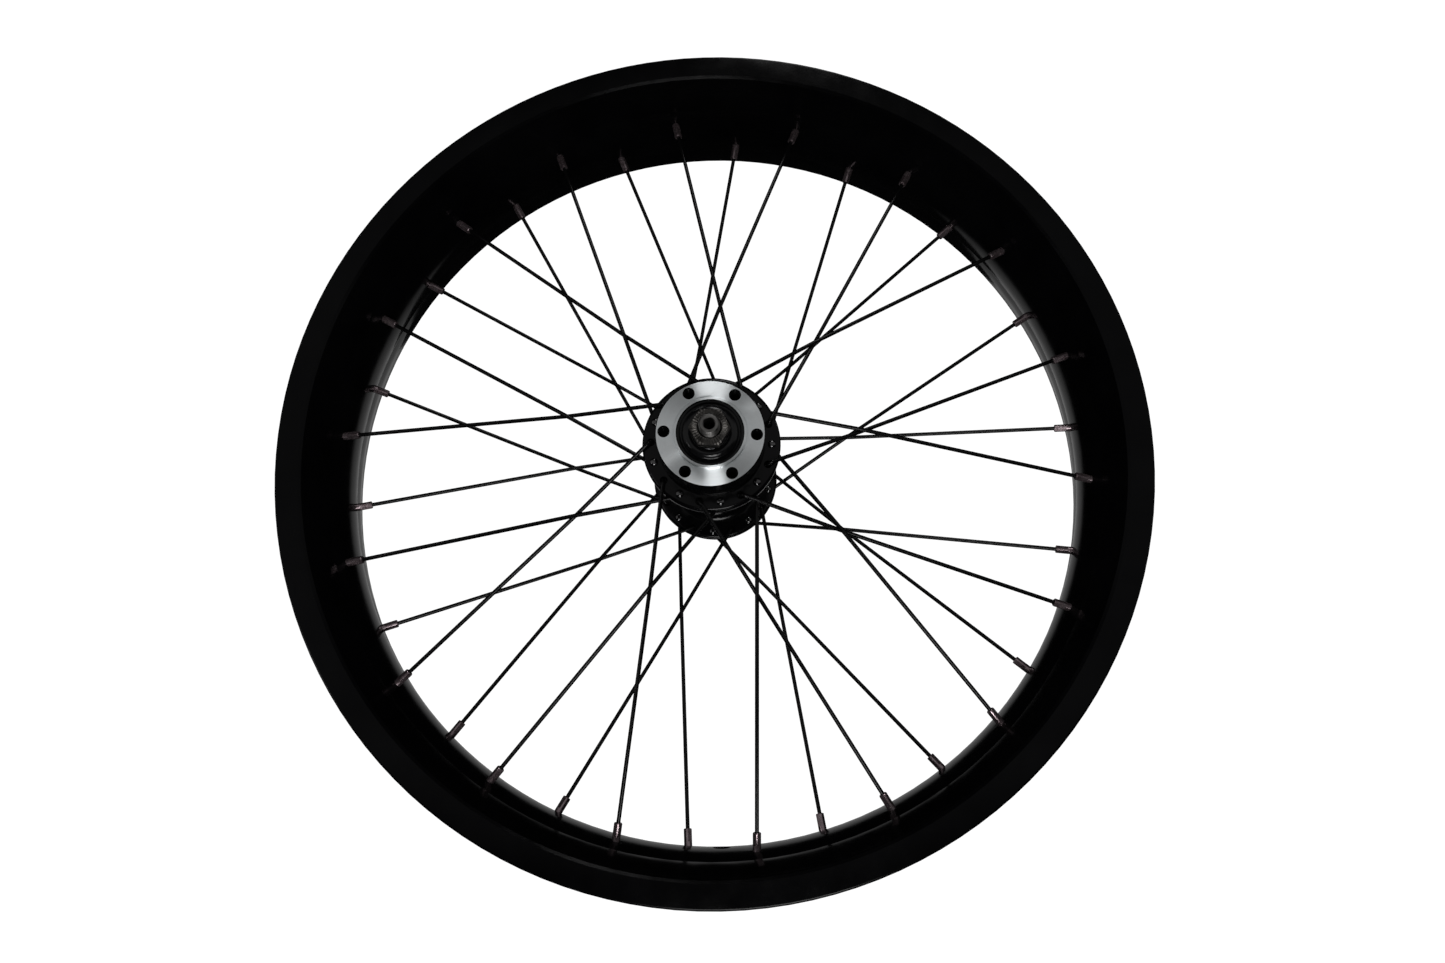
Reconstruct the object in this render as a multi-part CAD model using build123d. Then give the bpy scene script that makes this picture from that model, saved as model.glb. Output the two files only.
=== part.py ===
from build123d import *
import math
import os

# Front wheel for a fat-tyre bicycle, 20 inch (ISO 406), six-bolt disc hub, 36 spokes.
# Millimetres.  Origin at the centre of the wheel, halfway between the rim's two sides.
# The axle lies along Y, +Z is up, and the disc brake side faces -Y.

os.makedirs("parts", exist_ok=True)

# ---------------------------------------------------------------- driving dimensions
LIP_R = 213.0            # rim lip radius
RIM_HALF = 41.5          # half of the rim's outside width
BEAD_R = 202.8           # bead seat radius (ISO 406 tyre, bead seat diameter 405.6)
CROWN_R = 191.3          # hub-facing surface at the mid-plane
CREASE_Y, CREASE_R = 19.5, 195.0
WALL = 2.0               # channel wall
SHOULDER_R = 199.6       # hub-facing surface next to the side wall
SIDE_T = 1.9             # side wall
VALVE_D = 8.5
VALVE_ANGLE = -90.0

SPOKES = 36
ROW_Y = 10.8             # nipple rows either side of the mid-plane
NIPPLE_R0 = 192.4        # radius where a nipple axis meets the hub-facing surface
FIRST_NIPPLE = 95.0      # angle of nipple 1 (disc side row), seen from the disc side
CROSS_ANGLE = 40.0       # from hub hole to rim hole (two-cross lacing)
SPOKE_D = 2.0
SPOKE_HEAD_D, SPOKE_HEAD_H = 3.9, 1.2
ELBOW_R = 2.2
NIPPLE_D, NIPPLE_AF = 3.96, 3.35
NIPPLE_OUT = 8.2         # length below the rim
NIPPLE_IN = 3.2          # length above the hub-facing surface
NIPPLE_HEAD_D = 6.2
INTERLACE = 1.12         # half of the gap between centre lines where two spokes cross

OLD_HALF = 67.5          # half of the distance between the locknut faces
AXLE_HALF = 73.0
AXLE_R = 5.0
AXLE_BORE_R = 2.65
LOCKNUT_AF, LOCKNUT_T = 17.0, 5.0
ROTOR_Y = -57.0          # disc brake mounting face
ROTOR_R = 26.0
BOSS_R, BOSS_H = 17.45, 1.5
BOLT_PCD, BOLT_COUNT, BOLT_R, BOLT_DEPTH = 44.0, 6, 2.5, 12.0
BOLT_FIRST = -3.5        # angle of the first bolt hole
FLANGE_DISC_R = 33.9
FLANGE_PLAIN_R = 34.4
FLANGE_T = 5.0
FLANGE_DISC_Y = -38.5    # outer face of the disc side flange
FLANGE_PLAIN_Y = 40.5    # outer face of the plain side flange
HOLE_DISC_PCD = 59.0     # spoke hole circles
HOLE_PLAIN_PCD = 60.4
HOLE_DISC_TURN = 2.4     # turn of each flange's holes from the rim's holes, degrees
HOLE_PLAIN_TURN = 1.3
HOLE_D = 2.6
BARREL_R = 19.0
CORE_R = 12.5            # bore through the middle of the shell
CAP_BORE_R = 16.15       # bore for the dust caps
CUP_R = 15.5
BALL_PLANE = 50.0        # distance of each ball plane from the mid-plane
BALL_R = 3.175
BALL_PITCH_R = 10.8
BALLS = 9
RACE_R = 3.33
STRIP_HALF, STRIP_R0, STRIP_T = 20.5, 197.6, 0.8


def polar(r, deg, y):
    a = math.radians(deg)
    return Vector(r * math.cos(a), y, r * math.sin(a))


def ring(points):
    """Solid of revolution about Y from a closed outline of (radius, y) points."""
    line = Polyline(*[(p[0], p[1]) for p in points], close=True)
    return revolve(make_face(line), axis=Axis.Y, revolution_arc=360)


def along(origin, direction, x_dir=None):
    return Location(Plane(origin=origin, z_dir=direction, x_dir=x_dir) if x_dir is not None
                    else Plane(origin=origin, z_dir=direction))


def save(name, shape):
    export_step(shape, "parts/" + name + ".step")


def group(solids, label):
    c = Compound(children=list(solids))
    c.label = label
    return c


# ---------------------------------------------------------------- lacing
# Spokes are held as control points: head, elbow corner, crossing, nipple point.
def meet(p, q, r, t):
    """Fractions along p-q and r-t where the two plane lines cross."""
    dx1, dz1, dx2, dz2 = q[0] - p[0], q[1] - p[1], t[0] - r[0], t[1] - r[1]
    det = dx1 * dz2 - dz1 * dx2
    ex, ez = r[0] - p[0], r[1] - p[1]
    return (ex * dz2 - ez * dx2) / det, (ex * dz1 - ez * dx1) / det


def lacing(side, outside):
    """side -1 is the disc side, +1 the plain side; outside: the shaft lies outside the flange."""
    face = FLANGE_DISC_Y if side < 0 else FLANGE_PLAIN_Y
    inner = face - side * FLANGE_T
    y_out = face + side * 2.35                 # elbow corner of a spoke outside the flange
    y_in = inner - side * 1.15                 # and of one inside it
    rows = side * ROW_Y
    hub_r = (HOLE_DISC_PCD if side < 0 else HOLE_PLAIN_PCD) / 2
    turn = HOLE_DISC_TURN if side < 0 else HOLE_PLAIN_TURN

    def flat(r, deg):
        return (r * math.cos(math.radians(deg)), r * math.sin(math.radians(deg)))

    # outer crossing of the outside spoke from hub angle 0 and the inside spoke from hub angle 60
    h1, n1 = flat(hub_r, 0), flat(NIPPLE_R0, CROSS_ANGLE - turn)
    h2, n2 = flat(hub_r, 60), flat(NIPPLE_R0, 60 - CROSS_ANGLE - turn)
    f1, f2 = meet(h1, n1, h2, n2)
    cx, cz = h1[0] + f1 * (n1[0] - h1[0]), h1[1] + f1 * (n1[1] - h1[1])
    cross_r, cross_a = math.hypot(cx, cz), math.degrees(math.atan2(cz, cx))
    mid = 0.5 * ((y_out + f1 * (rows - y_out)) + (y_in + f2 * (rows - y_in)))
    # a shaft that starts outside the flange passes under the other one at the crossing
    y_cross = mid - side * INTERLACE if outside else mid + side * INTERLACE
    if side < 0:
        first = FIRST_NIPPLE if outside else FIRST_NIPPLE - 20.0
    else:
        first = FIRST_NIPPLE - 30.0 if outside else FIRST_NIPPLE - 10.0
    result = []
    for n in range(SPOKES // 4):
        rim_angle = first - 40.0 * n
        hub_angle = rim_angle + turn - (CROSS_ANGLE if outside else -CROSS_ANGLE)
        corner = polar(hub_r, hub_angle, y_out if outside else y_in)
        head = polar(hub_r, hub_angle, inner if outside else face)
        cross = polar(cross_r, hub_angle + (cross_a if outside else cross_a - 60.0), y_cross)
        end = polar(NIPPLE_R0, rim_angle, rows)
        result.append((rim_angle, head, corner, cross, end))
    return result


def spoke(points):
    _, head, corner, cross, end = points
    axis_in = (corner - head).normalized()
    u = (end - cross).normalized()
    tip = end + u * 1.2
    path = FilletPolyline(head, corner, cross, tip, radius=[ELBOW_R, 40.0])
    shaft = sweep(Plane(origin=head, z_dir=axis_in) * Circle(SPOKE_D / 2), path=path)
    r = SPOKE_HEAD_D / 2
    h = SPOKE_HEAD_H
    outline = Polyline((0, 0), (r, 0), (r, -0.35 * h), (0.72 * r, -0.85 * h), (0.3 * r, -h), (0, -h), close=True)
    cap = revolve(make_face(Plane.XZ * outline), axis=Axis.Z, revolution_arc=360)
    cap = along(head, axis_in) * cap
    return (shaft + cap).solids()[0]


def nipple_seat(u, end, grow=0.0):
    """The conical seat shared by the nipple head and the rim hole."""
    r0, r1 = NIPPLE_D / 2 + grow, NIPPLE_HEAD_D / 2
    z0 = 0.7
    z1 = z0 + (r1 - NIPPLE_D / 2)
    return r0, r1, z0, z1


def nipple(points):
    _, _, _, cross, end = points
    u = (end - cross).normalized()
    r0, r1, z0, z1 = nipple_seat(u, end)
    outline = Polyline((1.05, -NIPPLE_OUT), (r0 - 0.25, -NIPPLE_OUT), (r0, -NIPPLE_OUT + 0.35), (r0, z0), (r1, z1),
                       (r1, z1 + 0.35), (r1 - 0.9, NIPPLE_IN - 0.1), (r1 - 1.3, NIPPLE_IN), (1.05, NIPPLE_IN),
                       close=True)
    body = revolve(make_face(Plane.XZ * outline), axis=Axis.Z, revolution_arc=360)
    # four wrench flats on the exposed end
    flats = Pos(0, 0, -NIPPLE_OUT / 2 - 1.3) * (Box(8, 8, NIPPLE_OUT - 1.6) - Box(NIPPLE_AF, NIPPLE_AF, NIPPLE_OUT))
    body = body - flats
    # screwdriver slot in the head
    body = body - Pos(0, 0, NIPPLE_IN) * Box(8, 1.1, 1.6)
    radial = Vector(end.X, 0, end.Z).normalized()
    xdir = radial.cross(u).normalized()
    return (along(end, u, xdir) * body).solids()[0]


laced = {(s, o): lacing(s, o) for s in (-1, 1) for o in (True, False)}

for (s, o), sets in laced.items():
    one = spoke(sets[0])
    side_name = "disc_side" if s < 0 else "plain_side"
    where = "outside" if o else "inside"
    base = sets[0][0]
    copies = [Rot(0, -(p[0] - base), 0) * one for p in sets]
    save("spokes_" + side_name + "_" + where, group(copies, "spokes_" + side_name + "_" + where))

for s in (-1, 1):
    side_name = "disc_side" if s < 0 else "plain_side"
    nips = []
    for o in (True, False):
        sets = laced[(s, o)]
        one = nipple(sets[0])
        nips += [Rot(0, -(p[0] - sets[0][0]), 0) * one for p in sets]
    save("nipples_" + side_name, group(nips, "nipples_" + side_name))

# ---------------------------------------------------------------- rim
# Half section, from the mid-plane outwards: crown arc, crease, shoulder, side wall, hooked lip,
# bead seat, safety hump, channel.
arc_r = (CREASE_Y ** 2 + (CREASE_R - CROWN_R) ** 2) / (2 * (CREASE_R - CROWN_R))


def crown(y, off=0.0):
    return CROWN_R + arc_r - math.sqrt((arc_r - off) ** 2 - y ** 2)


under = [(crown(y), y) for y in (0.0, 3.5, 7.0, 10.0, 13.0, 16.5, CREASE_Y)]
under += [(CREASE_R + 0.35, CREASE_Y + 1.1), (CREASE_R + 0.75, 25.0), (CREASE_R + 2.4, 31.0),
          (SHOULDER_R - 0.3, 36.7), (SHOULDER_R, 38.6), (SHOULDER_R + 0.6, 40.5), (SHOULDER_R + 1.9, RIM_HALF)]
lip = [(LIP_R - 1.2, RIM_HALF), (LIP_R - 0.35, RIM_HALF - 0.3), (LIP_R, RIM_HALF - 1.0),
       (LIP_R - 0.15, RIM_HALF - 1.8), (LIP_R - 0.9, RIM_HALF - 2.5), (LIP_R - 1.9, RIM_HALF - 2.6),
       (LIP_R - 3.0, RIM_HALF - SIDE_T - 0.1), (BEAD_R + 1.4, RIM_HALF - SIDE_T), (BEAD_R + 0.3, RIM_HALF - SIDE_T - 0.6),
       (BEAD_R, RIM_HALF - SIDE_T - 1.6), (BEAD_R, 33.4), (BEAD_R + 0.35, 32.2), (BEAD_R + 0.45, 31.2),
       (BEAD_R - 0.1, 29.9), (BEAD_R - 1.3, 28.8), (199.8, 25.6), (198.0, 22.6), (197.25, 20.4)]
over = [(crown(y, WALL), y) for y in (18.6, 15.5, 12.0, 8.0, 4.0, 0.0)]
half = under + lip + over
outline = half + [(r, -y) for r, y in reversed(half[:-1])][:-1]
rim = ring(outline)
# closed chambers under the bead seats, as extruded
chamber = [(197.4, 26.8), (198.8, 31.0), (200.3, 35.2), (200.6, 36.4), (201.4, 36.4), (201.4, 33.0),
           (201.2, 31.2), (200.2, 29.4), (198.2, 27.0)]
for sgn in (1, -1):
    rim = rim - ring([(r, sgn * y) for r, y in chamber])

# nipple holes with conical seats, drilled along each nipple's own axis
r0, r1, z0, z1 = nipple_seat(None, None)
cut_line = Polyline((0, -4), (r0 + 0.12, -4), (r0 + 0.12, z0 + 0.12), (r1, z1), (r1, 6), (0, 6), close=True)
cutter = revolve(make_face(Plane.XZ * cut_line), axis=Axis.Z, revolution_arc=360)
cutters = []
for (s, o), sets in laced.items():
    for p in sets:
        u = (p[4] - p[3]).normalized()
        cutters.append(along(p[4], u) * cutter)
rim = rim - cutters
valve_dir = polar(1.0, VALVE_ANGLE, 0.0)
valve_cut = along(polar(CROWN_R - 4, VALVE_ANGLE, 0), valve_dir) * Cylinder(
    VALVE_D / 2, 14, align=(Align.CENTER, Align.CENTER, Align.MIN))
rim = rim - valve_cut
save("rim", rim.solids()[0])

strip = ring([(STRIP_R0, -STRIP_HALF), (STRIP_R0, STRIP_HALF), (STRIP_R0 + STRIP_T, STRIP_HALF),
              (STRIP_R0 + STRIP_T, -STRIP_HALF)])
strip = strip - along(polar(STRIP_R0 - 4, VALVE_ANGLE, 0), valve_dir) * Cylinder(
    VALVE_D / 2 + 0.5, 10, align=(Align.CENTER, Align.CENTER, Align.MIN))
save("rim_strip", strip.solids()[0])

# ---------------------------------------------------------------- hub shell
FD, FP = FLANGE_DISC_Y, FLANGE_PLAIN_Y
RD, RP = FLANGE_DISC_R, FLANGE_PLAIN_R
# rounded flange edge: (inset from the edge radius, distance from the face)
EDGE = [(1.7, 0.0), (1.0, 0.15), (0.45, 0.55), (0.1, 1.15), (0.0, 1.8)]
shell_line = [
    (CAP_BORE_R, ROTOR_Y - BOSS_H), (BOSS_R - 0.3, ROTOR_Y - BOSS_H), (BOSS_R, ROTOR_Y - BOSS_H + 0.3),
    (BOSS_R, ROTOR_Y), (ROTOR_R - 0.4, ROTOR_Y), (ROTOR_R, ROTOR_Y + 0.4),
    (ROTOR_R, FD - 0.7), (ROTOR_R + 0.2, FD - 0.2), (ROTOR_R + 0.7, FD)]
shell_line += [(RD - i, FD + d) for i, d in EDGE]
shell_line += [(RD - i, FD + FLANGE_T - d) for i, d in reversed(EDGE)]
shell_line += [
    (25.4, FD + FLANGE_T), (22.6, FD + FLANGE_T + 1.0), (20.6, FD + FLANGE_T + 3.2), (BARREL_R + 0.3, FD + FLANGE_T + 6.4),
    (BARREL_R, FD + FLANGE_T + 9.5),
    (BARREL_R, FP - FLANGE_T - 9.5), (BARREL_R + 0.3, FP - FLANGE_T - 6.4), (20.6, FP - FLANGE_T - 3.2),
    (22.6, FP - FLANGE_T - 1.0), (25.4, FP - FLANGE_T)]
shell_line += [(RP - i, FP - FLANGE_T + d) for i, d in EDGE]
shell_line += [(RP - i, FP - d) for i, d in reversed(EDGE)]
shell_line += [
    (25.2, FP), (23.0, FP + 0.9), (21.4, FP + 3.0), (20.7, FP + 6.0), (20.2, 55.6), (19.4, 57.2), (18.6, 57.6),
    (CAP_BORE_R, 57.6),
    (CAP_BORE_R, 54.2), (CUP_R, 54.2), (CUP_R, 45.0), (CORE_R, 45.0),
    (CORE_R, -45.0), (CUP_R, -45.0), (CUP_R, -54.2), (CAP_BORE_R, -54.2)]
shell = ring(shell_line)
cuts = []
c = 0.6
for side, face in ((-1, FD), (1, FP)):
    inner = face - side * FLANGE_T
    y0, y1 = min(face, inner), max(face, inner)
    r = HOLE_D / 2
    hl = Polyline((0, y0 - 0.2), (r + c + 0.2, y0 - 0.2), (r, y0 + c), (r, y1 - c), (r + c + 0.2, y1 + 0.2),
                  (0, y1 + 0.2), close=True)
    hole = revolve(make_face(hl), axis=Axis.Y, revolution_arc=360)
    for o in (True, False):
        for p in laced[(side, o)]:
            cuts.append(Pos(p[2].X, 0, p[2].Z) * hole)
bl = Polyline((0, ROTOR_Y - 0.2), (BOLT_R + 0.6, ROTOR_Y - 0.2), (BOLT_R, ROTOR_Y + 0.4),
              (BOLT_R, ROTOR_Y + BOLT_DEPTH), (0, ROTOR_Y + BOLT_DEPTH + 1.4), close=True)
bolt = revolve(make_face(bl), axis=Axis.Y, revolution_arc=360)
for k in range(BOLT_COUNT):
    q = polar(BOLT_PCD / 2, BOLT_FIRST + 60.0 * k, 0)
    cuts.append(Pos(q.X, 0, q.Z) * bolt)
shell = shell - cuts
save("hub_shell", shell.solids()[0])

# ---------------------------------------------------------------- bearings and axle set
def arc_points(cr, cy, r, a0, a1, n):
    return [(cr + r * math.cos(math.radians(a0 + (a1 - a0) * i / n)),
             cy + r * math.sin(math.radians(a0 + (a1 - a0) * i / n))) for i in range(n + 1)]


def mirror_points(points, side):
    return [(r, side * y) for r, y in points]


BP = BALL_PLANE
P = BALL_PITCH_R
for side in (-1, 1):
    name = "disc_side" if side < 0 else "plain_side"

    # Outlines are written for the +Y end and mirrored for the other.
    race = arc_points(P, BP, RACE_R, 0, -90, 8)
    cup = [(CUP_R, 54.0), (14.55, 54.0), (14.13, 53.2)] + race + [(10.4, BP - RACE_R), (10.4, 45.0), (CUP_R, 45.0)]
    save("bearing_cup_" + name, ring(mirror_points(cup, side)))

    crace = arc_points(P, BP, RACE_R, 180, 105, 7)
    cone = [(AXLE_R + 0.02, 47.2), (7.1, 47.2), (7.35, 47.6), (7.47, 49.0)] + crace
    cone += [(9.94, 54.1), (9.6, 54.5), (8.5, 54.5), (8.5, 59.0), (8.1, 59.4), (AXLE_R + 0.5, 59.4), (AXLE_R + 0.02, 58.9)]
    cone_s = ring(mirror_points(cone, side))
    flats = Pos(0, side * 58.6, 0) * (Box(30, 3.0, 30) - Box(30, 3.0, 15.0))
    cone_s = cone_s - flats
    save("cone_" + name, cone_s.solids()[0])

    balls = []
    for k in range(BALLS):
        q = polar(P, 90 + 360.0 / BALLS * k, side * BP)
        balls.append(Pos(q.X, q.Y, q.Z) * Sphere(BALL_R))
    save("balls_" + name, group([b.solids()[0] for b in balls], "balls_" + name))

    band = ring(mirror_points([(10.95, 53.45), (13.45, 53.45), (13.45, 53.95), (10.95, 53.95)], side))
    fingers = []
    for k in range(BALLS):
        a = 90 + 360.0 / BALLS * (k + 0.5)
        f = Pos(P + 0.9, side * 51.9, 0) * Box(1.3, 3.4, 3.2)
        fingers.append(Rot(0, -a, 0) * f)
    pockets = []
    for k in range(BALLS):
        q = polar(P, 90 + 360.0 / BALLS * k, side * BP)
        pockets.append(Pos(q.X, q.Y, q.Z) * Sphere(BALL_R + 0.12))
    retainer = (band + fingers) - pockets
    save("ball_retainer_" + name, retainer.solids()[0])

    cap = [(CAP_BORE_R, 54.4), (CAP_BORE_R, 57.3), (15.9, 57.8), (15.3, 58.0), (14.6, 57.75), (14.1, 57.45),
           (11.6, 57.35), (11.35, 57.1), (11.6, 56.75), (14.4, 56.8), (15.1, 56.5), (15.35, 56.0), (15.35, 54.4)]
    save("dust_cap_" + name, ring(mirror_points(cap, side)))

    seal = [(8.52, 55.4), (9.4, 55.4), (9.9, 55.9), (10.2, 56.9), (10.75, 57.75), (12.9, 57.85), (13.35, 58.15),
            (13.2, 58.65), (12.6, 59.3), (11.7, 59.85), (10.6, 60.1), (9.6, 59.95), (9.0, 59.5), (8.75, 58.9),
            (8.52, 58.6)]
    save("cone_seal_" + name, ring(mirror_points(seal, side)))

    washer = ring(mirror_points([(AXLE_R + 0.05, 59.4), (7.9, 59.4), (8.1, 59.6), (8.1, 60.7), (7.9, 60.9),
                                 (AXLE_R + 0.05, 60.9)], side))
    save("lock_washer_" + name, washer)

    spacer = ring(mirror_points([(AXLE_R + 0.05, 60.9), (7.2, 60.9), (7.35, 61.05), (7.35, 62.35), (7.2, 62.5),
                                 (AXLE_R + 0.05, 62.5)], side))
    save("spacer_" + name, spacer)

    f = OLD_HALF
    blank = ring(mirror_points([(AXLE_R + 0.02, f - LOCKNUT_T), (9.35, f - LOCKNUT_T), (9.85, f - LOCKNUT_T + 0.35),
                                (9.85, f - 0.6), (9.0, f), (AXLE_R + 0.75, f), (AXLE_R + 0.02, f - 0.75)], side))
    hexagon = extrude(Plane(origin=(0, side * (f - LOCKNUT_T - 1), 0), x_dir=(1, 0, 0), z_dir=(0, side, 0))
                      * RegularPolygon(LOCKNUT_AF / 2, 6, major_radius=False), LOCKNUT_T + 2)
    hexagon = Rot(0, 3.0, 0) * hexagon
    nut = blank & hexagon
    save("locknut_" + name, nut.solids()[0])

# full size beyond the locknuts, where the fork grips it, a relief under each locknut's countersink,
# and a hair smaller between them
n = AXLE_R - 0.02
g = AXLE_R - 0.3
end_half = [(g, OLD_HALF - 0.75), (g, OLD_HALF + 0.1), (AXLE_R, OLD_HALF + 0.1),
            (AXLE_R, AXLE_HALF - 0.6), (AXLE_R - 0.6, AXLE_HALF), (AXLE_BORE_R, AXLE_HALF)]
axle = ring([(r, -y) for r, y in reversed(end_half)] + [(n, -OLD_HALF + 0.75), (n, OLD_HALF - 0.75)] + end_half)
save("axle", axle)
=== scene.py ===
import math

import bmesh
import bpy
import numpy as np
from mathutils import Matrix, Vector


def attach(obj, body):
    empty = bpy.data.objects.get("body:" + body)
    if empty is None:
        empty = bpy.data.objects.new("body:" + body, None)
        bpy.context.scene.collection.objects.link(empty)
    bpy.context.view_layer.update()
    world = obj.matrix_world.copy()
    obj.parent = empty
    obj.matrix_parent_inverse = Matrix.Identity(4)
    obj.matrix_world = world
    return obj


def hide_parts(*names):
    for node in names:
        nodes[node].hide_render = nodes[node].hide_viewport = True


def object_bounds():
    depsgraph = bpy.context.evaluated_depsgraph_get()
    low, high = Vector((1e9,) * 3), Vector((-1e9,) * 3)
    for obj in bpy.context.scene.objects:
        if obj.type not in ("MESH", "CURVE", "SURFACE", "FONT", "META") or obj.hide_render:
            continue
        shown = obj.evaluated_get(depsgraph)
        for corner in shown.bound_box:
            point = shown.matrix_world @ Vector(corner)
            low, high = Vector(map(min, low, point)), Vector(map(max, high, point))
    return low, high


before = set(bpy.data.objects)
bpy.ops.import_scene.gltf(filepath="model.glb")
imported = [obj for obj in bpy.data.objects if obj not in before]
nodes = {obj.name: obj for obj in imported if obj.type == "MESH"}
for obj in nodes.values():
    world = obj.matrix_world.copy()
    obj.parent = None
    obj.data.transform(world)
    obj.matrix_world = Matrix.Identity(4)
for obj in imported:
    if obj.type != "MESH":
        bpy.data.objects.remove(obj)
cad_lo, cad_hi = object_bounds()
MM = 0.001


# ---------------------------------------------------------------- mesh helpers
def finish_mesh(name, verts, faces, body, mat, sharp=32.0):
    """A closed mesh given in millimetres becomes a piece that rides on one body."""
    me = bpy.data.meshes.new(name)
    me.from_pydata([(x * MM, y * MM, z * MM) for x, y, z in verts], [], faces)
    bm = bmesh.new()
    bm.from_mesh(me)
    bmesh.ops.recalc_face_normals(bm, faces=bm.faces)
    limit = math.radians(sharp)
    for f in bm.faces:
        f.smooth = True
    for e in bm.edges:
        if len(e.link_faces) == 2 and e.calc_face_angle(0.0) > limit:
            e.smooth = False
    bm.to_mesh(me)
    bm.free()
    me.materials.append(mat)
    ob = bpy.data.objects.new(name, me)
    bpy.context.scene.collection.objects.link(ob)
    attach(ob, body)
    return ob


def torus_of_rings(rings):
    """Rings of equal length, each closed, joined in a loop from the last ring back to the first."""
    n = len(rings[0])
    verts = [p for ring in rings for p in ring]
    faces = []
    for i in range(len(rings)):
        a, b = i * n, ((i + 1) % len(rings)) * n
        for j in range(n):
            k = (j + 1) % n
            faces.append((a + j, a + k, b + k, b + j))
    return verts, faces


def ring_at(radius, y, count, start=0.0):
    """A circle about the wheel axis; radius and y may depend on the angle."""
    out = []
    for j in range(count):
        a = start + 2 * math.pi * j / count
        r = radius(a) if callable(radius) else radius
        h = y(a) if callable(y) else y
        out.append((r * math.cos(a), h, r * math.sin(a)))
    return out


def triangle_wave(t):
    t = t % 1.0
    return 1.0 - abs(2.0 * t - 1.0)


# ---------------------------------------------------------------- material helpers
class Mat:
    """A small wrapper that lays out a procedural Principled material."""

    def __init__(self, name):
        self.m = bpy.data.materials.new(name)
        self.m.use_nodes = True
        self.nt = self.m.node_tree
        self.bsdf = self.nt.nodes["Principled BSDF"]
        self.co = self.nt.nodes.new("ShaderNodeTexCoord").outputs["Object"]

    def link(self, a, b):
        self.nt.links.new(a, b)

    def noise(self, scale, detail=3.0, rough=0.5, vector=None, distortion=0.0):
        n = self.nt.nodes.new("ShaderNodeTexNoise")
        n.inputs["Scale"].default_value = scale
        n.inputs["Detail"].default_value = detail
        n.inputs["Roughness"].default_value = rough
        n.inputs["Distortion"].default_value = distortion
        self.link(vector or self.co, n.inputs["Vector"])
        return n.outputs["Fac"]

    def remap(self, value, lo, hi, out_lo, out_hi):
        n = self.nt.nodes.new("ShaderNodeMapRange")
        n.inputs["From Min"].default_value = lo
        n.inputs["From Max"].default_value = hi
        n.inputs["To Min"].default_value = out_lo
        n.inputs["To Max"].default_value = out_hi
        self.link(value, n.inputs["Value"])
        return n.outputs["Result"]

    def math(self, op, a, b=None):
        n = self.nt.nodes.new("ShaderNodeMath")
        n.operation = op
        for i, v in enumerate((a, b)):
            if v is None:
                continue
            if isinstance(v, (int, float)):
                n.inputs[i].default_value = v
            else:
                self.link(v, n.inputs[i])
        return n.outputs[0]

    def ramp(self, value, *stops):
        n = self.nt.nodes.new("ShaderNodeValToRGB")
        els = n.color_ramp.elements
        while len(els) < len(stops):
            els.new(0.5)
        for e, (pos, c) in zip(els, stops):
            e.position = pos
            e.color = (*c, 1.0)
        self.link(value, n.inputs["Fac"])
        return n.outputs["Color"]

    def polar(self):
        """(radius about the axle, then x, the height y along the axle, and z) of the point, from its own coordinates.
        """
        s = self.nt.nodes.new("ShaderNodeSeparateXYZ")
        self.link(self.co, s.inputs[0])
        x, y, z = s.outputs
        r = self.math("SQRT", self.math("ADD", self.math("MULTIPLY", x, x), self.math("MULTIPLY", z, z)))
        return r, x, y, z

    def bump(self, height, strength, distance, after=None):
        n = self.nt.nodes.new("ShaderNodeBump")
        n.inputs["Strength"].default_value = strength
        n.inputs["Distance"].default_value = distance
        self.link(height, n.inputs["Height"])
        if after is not None:
            self.link(after, n.inputs["Normal"])
        return n.outputs["Normal"]

    def set(self, **kw):
        for k, v in kw.items():
            self.bsdf.inputs[k.replace("_", " ")].default_value = v


def painted(name, dark, light, rough, peel=0.05, peel_scale=700.0, coat=0.5, spec=0.5, spread=0.06):
    """Black coating: near-black with a slow drift in tone, uneven gloss and a fine orange peel."""
    m = Mat(name)
    m.link(m.ramp(m.noise(38.0, 4.0), (0.3, dark), (0.7, light)), m.bsdf.inputs["Base Color"])
    fine = m.noise(2600.0, 2.0)
    slow = m.noise(90.0, 5.0, 0.6)
    rough_mix = m.math("ADD", m.remap(slow, 0.3, 0.7, rough - spread, rough + spread), m.remap(fine, 0.3, 0.7, -0.02, 0.02))
    m.link(rough_mix, m.bsdf.inputs["Roughness"])
    m.link(m.bump(m.noise(peel_scale, 2.0), peel, 0.0002), m.bsdf.inputs["Normal"])
    m.set(Metallic=0.0, Coat_Weight=coat, Coat_Roughness=0.08)
    m.bsdf.inputs["Specular IOR Level"].default_value = spec
    return m.m


def metal(name, dark, light, rough, scale=160.0, grain=0.06, spread=0.08, aniso=0.0, metallic=1.0):
    """Plated or ground steel: tone and gloss both wander, with a fine grain."""
    m = Mat(name)
    m.link(m.ramp(m.noise(scale, 5.0, 0.6), (0.28, dark), (0.72, light)), m.bsdf.inputs["Base Color"])
    m.link(m.remap(m.noise(scale * 2.3, 4.0), 0.3, 0.7, rough - spread, rough + spread), m.bsdf.inputs["Roughness"])
    m.link(m.bump(m.noise(scale * 14.0, 3.0), grain, 0.0001), m.bsdf.inputs["Normal"])
    m.set(Metallic=metallic, Anisotropic=aniso)
    return m.m


def rubber(name, dark, light, rough, bump=0.08, spec=0.4):
    m = Mat(name)
    m.link(m.ramp(m.noise(120.0, 4.0), (0.3, dark), (0.7, light)), m.bsdf.inputs["Base Color"])
    m.link(m.remap(m.noise(420.0, 4.0), 0.3, 0.7, rough - 0.06, rough + 0.06), m.bsdf.inputs["Roughness"])
    m.link(m.bump(m.noise(1900.0, 3.0), bump, 0.0001), m.bsdf.inputs["Normal"])
    m.bsdf.inputs["Specular IOR Level"].default_value = spec
    return m.m


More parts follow.
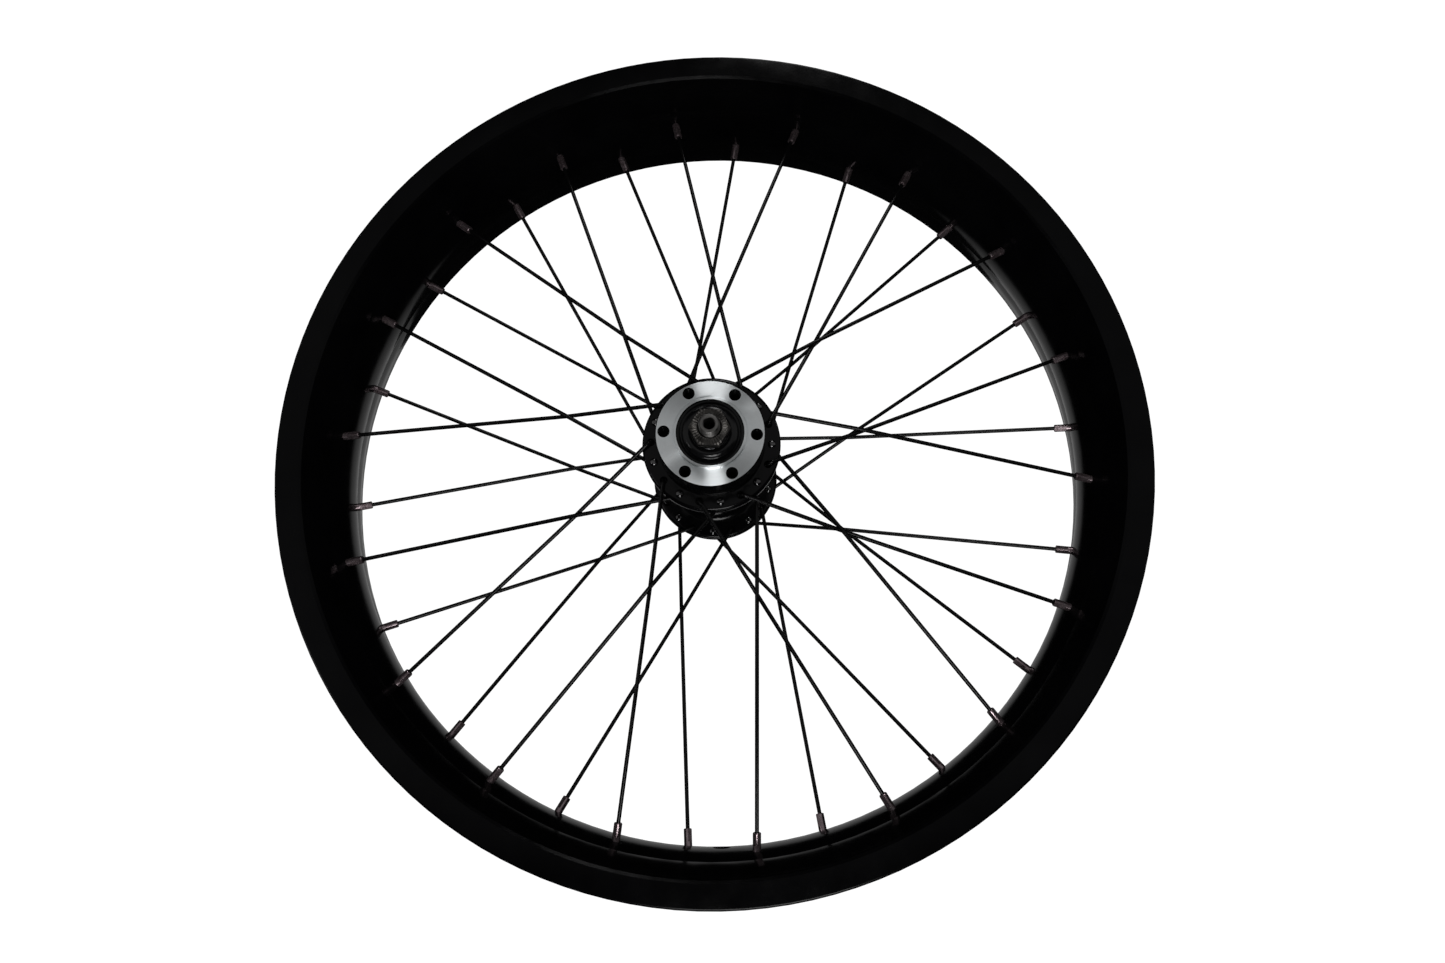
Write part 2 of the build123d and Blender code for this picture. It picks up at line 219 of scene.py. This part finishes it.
def turned_aluminium(name):
    """Bare aluminium faced on a lathe: fine rings about the axle, stretched highlights, faint tone bands."""
    m = Mat(name)
    r, x, y, z = m.polar()
    bands = m.nt.nodes.new("ShaderNodeCombineXYZ")
    m.link(m.math("MULTIPLY", r, 5200.0), bands.inputs[0])
    m.link(m.math("MULTIPLY", x, 22.0), bands.inputs[1])
    m.link(m.math("MULTIPLY", z, 22.0), bands.inputs[2])
    rings = m.noise(1.0, 3.0, 0.7, vector=bands.outputs[0])
    wide = m.noise(70.0, 4.0)
    tone = m.math("ADD", m.math("MULTIPLY", rings, 0.55), m.math("MULTIPLY", wide, 0.45))
    m.link(m.ramp(tone, (0.3, (0.80, 0.835, 0.85)), (0.7, (0.90, 0.93, 0.94))), m.bsdf.inputs["Base Color"])
    m.link(m.remap(rings, 0.3, 0.7, 0.34, 0.44), m.bsdf.inputs["Roughness"])
    groove = m.math("SINE", m.math("MULTIPLY", r, 2 * math.pi / 0.00032))
    height = m.math("ADD", m.math("MULTIPLY", groove, 0.5), rings)
    m.link(m.bump(height, 0.09, 0.00004), m.bsdf.inputs["Normal"])
    t = m.nt.nodes.new("ShaderNodeTangent")
    t.direction_type = "RADIAL"
    t.axis = "Y"
    m.link(t.outputs[0], m.bsdf.inputs["Tangent"])
    m.set(Metallic=1.0, Anisotropic=1.0, Anisotropic_Rotation=0.25)
    return m.m


MATS = {
    "rim_black": painted("rim_gloss_black", (0.0010, 0.0010, 0.0012), (0.0022, 0.0022, 0.0025), 0.15, 0.03, 620.0, 0.0, 0.07, 0.04),
    "hub_black": painted("hub_gloss_black", (0.0012, 0.0012, 0.0014), (0.0026, 0.0026, 0.003), 0.16, 0.04, 1100.0, 0.0, 0.14, 0.04),
    "spoke_black": painted("spoke_black_coat", (0.0015, 0.0015, 0.0016), (0.0032, 0.0032, 0.0034), 0.2, 0.05, 2400.0, 0.0, 0.16, 0.05),
    "nipple_black": metal("nipple_black_chrome", (0.17, 0.122, 0.132), (0.42, 0.35, 0.37), 0.28, 420.0, 0.03, 0.06, 0.0, 0.87),
    "cap_black": painted("cap_gloss_black", (0.0014, 0.0014, 0.0016), (0.003, 0.003, 0.0034), 0.14, 0.04, 1500.0, 0.0, 0.2, 0.04),
    "seal_rubber": rubber("seal_black_rubber", (0.002, 0.002, 0.0022), (0.0045, 0.0045, 0.005), 0.2, 0.05, 0.28),
    "strip_rubber": rubber("strip_black_rubber", (0.012, 0.012, 0.013), (0.026, 0.026, 0.028), 0.62, 0.25, 0.3),
    "locknut_steel": metal("locknut_dark_steel", (0.034, 0.032, 0.030), (0.078, 0.074, 0.070), 0.38, 340.0),
    "axle_steel": metal("axle_dark_steel", (0.09, 0.087, 0.084), (0.19, 0.185, 0.18), 0.40, 260.0),
    "bearing_steel": metal("bearing_ground_steel", (0.34, 0.34, 0.35), (0.55, 0.55, 0.56), 0.24, 300.0),
    "ball_steel": metal("ball_polished_steel", (0.62, 0.62, 0.64), (0.78, 0.78, 0.80), 0.09, 500.0, 0.01, 0.03),
}
ALUMINIUM = turned_aluminium("disc_face_turned_aluminium")
HEAD = painted("spoke_head_black", (0.0015, 0.0015, 0.0016), (0.0032, 0.0032, 0.0034), 0.13, 0.03, 2400.0, 0.6, 0.9, 0.03)

SLOT_OF = {
    "rim": "rim_black",
    "rim_strip": "strip_rubber",
    "hub_shell": "hub_black",
    "axle": "axle_steel",
}
for prefix, slot in (
    ("nipples_", "nipple_black"),
    ("spokes_", "spoke_black"),
    ("dust_cap_", "cap_black"),
    ("cone_seal_", "seal_rubber"),
    ("cone_disc", "bearing_steel"),
    ("cone_plain", "bearing_steel"),
    ("lock_washer_", "locknut_steel"),
    ("spacer_", "locknut_steel"),
    ("locknut_", "locknut_steel"),
    ("bearing_cup_", "bearing_steel"),
    ("ball_retainer_", "bearing_steel"),
    ("balls_", "ball_steel"),
):
    for n in nodes:
        if n.startswith(prefix):
            SLOT_OF[n] = slot

for n, o in nodes.items():
    mat = MATS[SLOT_OF[n]]
    if not o.data.materials:
        o.data.materials.append(mat)
    for i in range(len(o.data.materials)):
        o.data.materials[i] = mat

# Shading normals: faces that meet at a shallow angle shade as one surface. Nothing is moved.
def soften(o, limit):
    me = o.data
    co = np.empty(len(me.vertices) * 3)
    me.vertices.foreach_get("co", co)
    lv = np.empty(len(me.loops), dtype=np.int32)
    me.loops.foreach_get("vertex_index", lv)
    count = len(me.polygons)
    fn, area, total = np.empty(count * 3), np.empty(count), np.empty(count, dtype=np.int32)
    me.polygons.foreach_get("normal", fn)
    me.polygons.foreach_get("area", area)
    me.polygons.foreach_get("loop_total", total)
    face = np.repeat(np.arange(count), total)
    fn = fn.reshape(-1, 3)[face]
    area = area[face]
    cell = np.round(co.reshape(-1, 3)[lv] / 2e-6).astype(np.int64)
    key = cell[:, 0] * 73856093 + cell[:, 1] * 19349663 * 1009 + cell[:, 2] * 83492791 * 7919
    _, group, size = np.unique(key, return_inverse=True, return_counts=True)
    order = np.argsort(group, kind="stable")
    start = np.concatenate(([0], np.cumsum(size)[:-1]))
    total_n = np.zeros((len(lv), 3))
    close = math.cos(math.radians(limit))
    for k in range(int(size.max())):
        live = np.nonzero(size[group] > k)[0]
        other = order[start[group[live]] + k]
        near = (fn[live] * fn[other]).sum(1) > close
        total_n[live] += fn[other] * (area[other] * near)[:, None]
    total_n /= np.maximum(np.linalg.norm(total_n, axis=1), 1e-20)[:, None]
    for p in me.polygons:
        p.use_smooth = True
    me.normals_split_custom_set([tuple(v) for v in total_n])


for n, o in nodes.items():
    if n.startswith("spokes_"):
        soften(o, 52.0)
    elif n.startswith("cone_seal_") or n.startswith("dust_cap_"):
        soften(o, 44.0)
    elif n == "rim" or n == "hub_shell" or n.startswith("nipples_"):
        soften(o, 31.0)

# Spoke heads sit proud of the flanges and are glossier than the shafts.
for n, o in nodes.items():
    if not n.startswith("spokes_"):
        continue
    o.data.materials.append(HEAD)
    last = len(o.data.materials) - 1
    face_y = {"spokes_disc_side_inside": (-1, 0.03845), "spokes_disc_side_outside": (1, -0.03355),
              "spokes_plain_side_inside": (1, 0.04045), "spokes_plain_side_outside": (-1, -0.03555)}[n]
    for p in o.data.polygons:
        c = p.center
        if face_y[0] * c.y > face_y[1] and math.hypot(c.x, c.z) < 0.0325:
            p.material_index = last

# The brake face of the hub is bare: every facet that lies at or beyond the face plane is cut metal.
hub = nodes["hub_shell"].data
hub.materials.append(ALUMINIUM)
bare = len(hub.materials) - 1
for p in hub.polygons:
    if all(hub.vertices[v].co.y < -0.05695 for v in p.vertices):
        p.material_index = bare

# ---------------------------------------------------------------- axle with rolled threads at both ends
AXLE_R, THREAD_ROOT, PITCH, AXLE_END, BORE = 5.0, 0.52, 1.0, 73.0, 2.65
COUNT = 96


def axle_piece():
    def outer(y):
        def r(a):
            turn = y / PITCH - a / (2 * math.pi)
            wave = 1.0 - min(1.0, max(0.0, 1.35 * triangle_wave(turn) - 0.12))
            cut = AXLE_R - THREAD_ROOT * wave
            chamfer = 4.25 + (AXLE_END - abs(y)) * 0.9
            return min(cut, chamfer)
        return r

    rings = [ring_at(BORE + 0.35, -AXLE_END, COUNT), ring_at(4.2, -AXLE_END, COUNT)]
    steps = int(6.4 / 0.08)
    ys = [-AXLE_END + 0.04 + i * 0.08 for i in range(steps)]
    rings += [ring_at(outer(y), y, COUNT) for y in ys]
    rings += [ring_at(4.55, ys[-1] + 0.1, COUNT), ring_at(4.98, ys[-1] + 0.6, COUNT)]
    rings += [ring_at(4.98, -(ys[-1] + 0.6), COUNT), ring_at(4.55, -(ys[-1] + 0.1), COUNT)]
    rings += [ring_at(outer(-y), -y, COUNT) for y in reversed(ys)]
    rings += [ring_at(4.2, AXLE_END, COUNT), ring_at(BORE + 0.35, AXLE_END, COUNT)]
    rings += [ring_at(BORE, AXLE_END - 0.35, COUNT), ring_at(BORE, -AXLE_END + 0.35, COUNT)]
    verts, faces = torus_of_rings(rings)
    ob = finish_mesh("axle_threaded", verts, faces, "axle_set", MATS["axle_steel"], 40.0)
    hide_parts("axle")


axle_piece()


# ---------------------------------------------------------------- locknuts with a serrated clamping face
def locknut_piece(side, sign):
    flat, teeth, per = 8.5, 36, 8
    count = teeth * per
    start = math.radians(-3.0)
    inner, outer = 62.5, 67.5

    def hexagon(a):
        t = (a - start) % (math.pi / 3)
        return flat / math.cos(t - math.pi / 6)

    def crown(r, a, depth):
        h = outer - max(0.0, r - 8.25) * math.tan(math.radians(27))
        j = (a - start) / (2 * math.pi) * teeth
        return h - depth * triangle_wave(j)

    def row(r_of, depth):
        return ring_at(r_of, lambda a: sign * crown(r_of(a) if callable(r_of) else r_of, a, depth), count, start)

    rings = [
        ring_at(5.06, sign * (inner + 0.45), count, start),
        ring_at(5.06, sign * (outer - 0.65), count, start),
        ring_at(5.62, sign * (outer - 0.1), count, start),
        row(5.72, 0.0),
        row(5.86, 0.04),
        row(6.1, 0.26),
        row(6.9, 0.28),
        row(7.7, 0.28),
        row(8.2, 0.26),
        row(lambda a: min(8.42, hexagon(a) - 0.03), 0.2),
        row(lambda a: 8.42 + (hexagon(a) - 8.42) * 0.55 if hexagon(a) > 8.47 else hexagon(a) - 0.02, 0.1),
        row(lambda a: hexagon(a), 0.06),
        ring_at(hexagon, lambda a: sign * (crown(hexagon(a), a, 0.06) - 0.12), count, start),
        ring_at(hexagon, lambda a: sign * (inner + 0.1 + max(0.0, hexagon(a) - 8.6) * 0.5), count, start),
        ring_at(lambda a: min(hexagon(a), 8.5), sign * inner, count, start),
        ring_at(5.5, sign * inner, count, start),
    ]
    verts, faces = torus_of_rings(rings)
    ob = finish_mesh("locknut_" + side + "_serrated", verts, faces, "axle_set", MATS["locknut_steel"], 24.0)
    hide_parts("locknut_" + side)


locknut_piece("disc_side", -1)
locknut_piece("plain_side", 1)


# ---------------------------------------------------------------- thread turns in the six disc bolt holes
def bolt_threads():
    verts, faces = [], []
    pitch, count, step = 0.8, 48, 0.08
    for k in range(6):
        c = math.radians(-3.5 + 60 * k)
        cx, cz = 22.0 * math.cos(c), 22.0 * math.sin(c)

        def ring(radius, y):
            out = []
            for j in range(count):
                a = 2 * math.pi * j / count
                r = radius(a, y) if callable(radius) else radius
                out.append((cx + r * math.cos(a), y, cz + r * math.sin(a)))
            return out

        def inner(a, y):
            w = min(1.0, max(0.0, 1.5 * triangle_wave(y / pitch + a / (2 * math.pi)) - 0.25))
            fade = min(1.0, max(0.0, (y + 56.5) / 0.6))
            return 2.49 - 0.40 * w * fade

        top, bottom = -56.55, -46.0
        ys = [top + i * step for i in range(int((bottom - top) / step) + 1)]
        rings = [ring(inner, y) for y in ys]
        rings += [ring(2.54, ys[-1]), ring(2.54, ys[0])]
        v, f = torus_of_rings(rings)
        base = len(verts)
        verts += v
        faces += [tuple(i + base for i in q) for q in f]
    finish_mesh("disc_bolt_threads", verts, faces, "wheel", MATS["hub_black"], 50.0)


bolt_threads()

# ---------------------------------------------------------------- stage, light, camera
lo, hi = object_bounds()
floor_z = cad_lo.z


def stage_plane(name, size, z, mat):
    me = bpy.data.meshes.new(name)
    s = size / 2
    me.from_pydata([(-s, -s, z), (s, -s, z), (s, s, z), (-s, s, z)], [], [(0, 1, 2, 3)])
    me.materials.append(mat)
    ob = bpy.data.objects.new(name, me)
    bpy.context.scene.collection.objects.link(ob)
    return ob


floor_mat = Mat("studio_floor")
floor_mat.link(floor_mat.ramp(floor_mat.noise(3.0, 3.0), (0.3, (0.86, 0.86, 0.86)), (0.7, (0.90, 0.90, 0.90))), floor_mat.bsdf.inputs["Base Color"])
floor_mat.set(Roughness=0.85)
floor_mat.bsdf.inputs["Specular IOR Level"].default_value = 0.1
glow = floor_mat.nt.nodes.new("ShaderNodeEmission")
glow.inputs["Strength"].default_value = 1.16
path = floor_mat.nt.nodes.new("ShaderNodeLightPath")
blend = floor_mat.nt.nodes.new("ShaderNodeMixShader")
floor_mat.link(floor_mat.math("MULTIPLY", path.outputs["Is Camera Ray"], 0.9), blend.inputs["Fac"])
floor_mat.link(floor_mat.bsdf.outputs[0], blend.inputs[1])
floor_mat.link(glow.outputs[0], blend.inputs[2])
floor_mat.link(blend.outputs[0], floor_mat.nt.nodes["Material Output"].inputs["Surface"])
floor = stage_plane("floor", 14.0, floor_z - 0.00005, floor_mat.m)
floor.visible_glossy = floor.visible_shadow = False      # light from below reaches the wheel

world = bpy.data.worlds.new("studio")
bpy.context.scene.world = world
world.use_nodes = True
wn = world.node_tree
wn.nodes.clear()
out = wn.nodes.new("ShaderNodeOutputWorld")
seen = wn.nodes.new("ShaderNodeBackground")
seen.inputs["Color"].default_value = (1, 1, 1, 1)
seen.inputs["Strength"].default_value = 1.05
lit = wn.nodes.new("ShaderNodeBackground")
lit.inputs["Color"].default_value = (1, 1, 1, 1)
tc = wn.nodes.new("ShaderNodeTexCoord")
sep = wn.nodes.new("ShaderNodeSeparateXYZ")
wn.links.new(tc.outputs["Generated"], sep.inputs[0])


def sky_step(a, b, strength, axis="Y"):
    """Strength rises smoothly from 0 at a to its full value at b, along one axis of the direction."""
    n = wn.nodes.new("ShaderNodeMapRange")
    n.interpolation_type = "SMOOTHSTEP"
    n.inputs["From Min"].default_value, n.inputs["From Max"].default_value = min(a, b), max(a, b)
    n.inputs["To Min"].default_value, n.inputs["To Max"].default_value = (0.0, strength) if a < b else (strength, 0.0)
    wn.links.new(sep.outputs[axis], n.inputs["Value"])
    return n.outputs["Result"]


both = wn.nodes.new("ShaderNodeMath")
both.operation = "ADD"
wn.links.new(sky_step(0.2, -0.2, 0.36), both.inputs[0])      # room in front of the wheel
wn.links.new(sky_step(0.86, 0.93, 0.32), both.inputs[1])      # bright backdrop behind it
above = wn.nodes.new("ShaderNodeMath")
above.operation = "MULTIPLY"
wn.links.new(both.outputs[0], above.inputs[0])
wn.links.new(sky_step(-0.2, -0.05, 1.0, "Z"), above.inputs[1])      # nothing below the horizon
lower = wn.nodes.new("ShaderNodeMath")
lower.operation = "MULTIPLY"
wn.links.new(above.outputs[0], lower.inputs[0])
wn.links.new(sky_step(0.70, 0.42, 1.0, "Z"), lower.inputs[1])       # and a dark ceiling
wn.links.new(lower.outputs[0], lit.inputs["Strength"])
lp = wn.nodes.new("ShaderNodeLightPath")
mix = wn.nodes.new("ShaderNodeMixShader")
wn.links.new(lp.outputs["Is Camera Ray"], mix.inputs["Fac"])
wn.links.new(lit.outputs[0], mix.inputs[1])
wn.links.new(seen.outputs[0], mix.inputs[2])
wn.links.new(mix.outputs[0], out.inputs["Surface"])


def softbox(name, at, target, width, height, power):
    data = bpy.data.lights.new(name, "AREA")
    data.shape = "RECTANGLE"
    data.size, data.size_y = width, height
    data.energy = power
    ob = bpy.data.objects.new(name, data)
    bpy.context.scene.collection.objects.link(ob)
    ob.location = at
    ob.rotation_mode = "QUATERNION"
    ob.rotation_quaternion = (Vector(target) - Vector(at)).to_track_quat("-Z", "Y")
    return ob


softbox("key", (0.20, -1.15, 1.50), (0, 0, 0), 0.34, 0.5, 5.0)
softbox("top", (-0.5, 0.2, 1.6), (0, 0, 0), 0.5, 0.5, 2)
softbox("low_front", (0.05, -0.72, -0.56), (0, 0, 0), 0.30, 0.20, 2.6)
softbox("low_left", (-0.78, -0.71, -0.19), (-0.15, 0, -0.09), 0.16, 0.16, 0.4)
softbox("under", (0.0, 0.05, -0.80), (0, 0, 0), 0.50, 0.30, 4.2)

# a dark card behind the rim's top, seen only in reflections
card_mat = Mat("studio_card")
card_mat.link(card_mat.ramp(card_mat.noise(6.0, 2.0), (0.3, (0.004, 0.004, 0.004)), (0.7, (0.008, 0.008, 0.008))), card_mat.bsdf.inputs["Base Color"])
card_mat.bsdf.inputs["Specular IOR Level"].default_value = 0.0
card_me = bpy.data.meshes.new("card")
card_me.from_pydata([(-0.26, 0.12, 0.095), (0.26, 0.12, 0.14), (0.26, 0.18, 0.48), (-0.26, 0.18, 0.48)], [], [(0, 1, 2, 3)])
card_me.materials.append(card_mat.m)
card = bpy.data.objects.new("card", card_me)
bpy.context.scene.collection.objects.link(card)
card.visible_camera = card.visible_diffuse = card.visible_shadow = False

bpy.context.scene.view_settings.view_transform = "Standard"

cam_data = bpy.data.cameras.new("camera")
cam_data.sensor_fit = "HORIZONTAL"
cam_data.sensor_width = 36.0
cam_data.lens = 24.911
cam_data.clip_start, cam_data.clip_end = 0.01, 60.0
cam = bpy.data.objects.new("camera", cam_data)
bpy.context.scene.collection.objects.link(cam)
right = Vector((0.99956, 0.01946, -0.02280)).normalized()
back = Vector((0.01378, -0.97376, -0.22717)).normalized()
up = back.cross(right).normalized()
right = up.cross(back).normalized()
m = Matrix.Identity(4)
for i in range(3):
    m[i][0], m[i][1], m[i][2] = right[i], up[i], back[i]
m[0][3], m[1][3], m[2][3] = 0.01167, -0.50925, -0.12912
cam.matrix_world = m
bpy.context.scene.camera = cam
